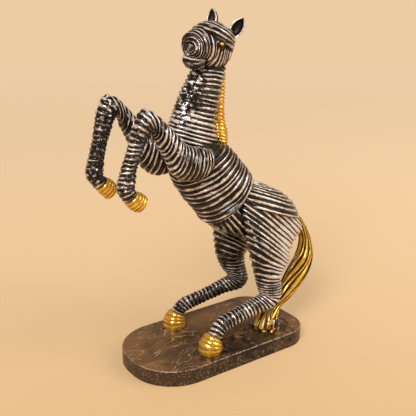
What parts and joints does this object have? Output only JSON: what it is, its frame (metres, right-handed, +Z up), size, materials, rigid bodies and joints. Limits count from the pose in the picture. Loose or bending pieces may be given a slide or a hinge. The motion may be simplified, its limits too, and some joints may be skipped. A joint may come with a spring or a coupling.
{
  "type": "horse figurine",
  "caption": "Rearing horse ornament whose body looks wound from cord, with gold mane, tail and hooves, on a low rounded plinth that stands on a shelf.",
  "frame": {"origin": "the middle of the plinth's underside", "axes": "+X from the nose towards the tail, -Y towards the horse's left side, +Z up from the plinth to the ears"},
  "size_m": [0.1866, 0.079, 0.2609],
  "materials": {
    "silvered_black": "black cast resin, its raised cords dry-brushed with silver",
    "gold_finish": "cast resin painted rich gold, dark in the grooves",
    "plinth_resin": "dark brown cast resin with pale streaks and a worn edge",
    "pin_steel": "plain drawn steel"
  },
  "bodies": {
    "root": {"plinth": "plinth_resin", "hoof_pin_left": "pin_steel", "hoof_pin_right": "pin_steel", "tail_pin": "pin_steel", "barrel": "silvered_black", "pelvis": "silvered_black", "croup": "silvered_black", "neck": "silvered_black", "face": "silvered_black", "crown": "silvered_black", "jaw": "silvered_black", "ear_left": "silvered_black", "ear_right": "silvered_black", "eye_left": "gold_finish", "eye_right": "gold_finish", "mane": "gold_finish", "arm_left": "silvered_black", "arm_right": "silvered_black", "forearm_left": "silvered_black", "forearm_right": "silvered_black", "fore_pastern_left": "silvered_black", "fore_pastern_right": "silvered_black", "fore_hoof_left": "gold_finish", "fore_hoof_right": "gold_finish", "thigh_left": "silvered_black", "thigh_right": "silvered_black", "gaskin_left": "silvered_black", "gaskin_right": "silvered_black", "cannon_left": "silvered_black", "cannon_right": "silvered_black", "hind_pastern_left": "silvered_black", "hind_pastern_right": "silvered_black", "hind_hoof_left": "gold_finish", "hind_hoof_right": "gold_finish", "tail": "gold_finish", "tail_foot": "gold_finish"}
  },
  "joints": []
}
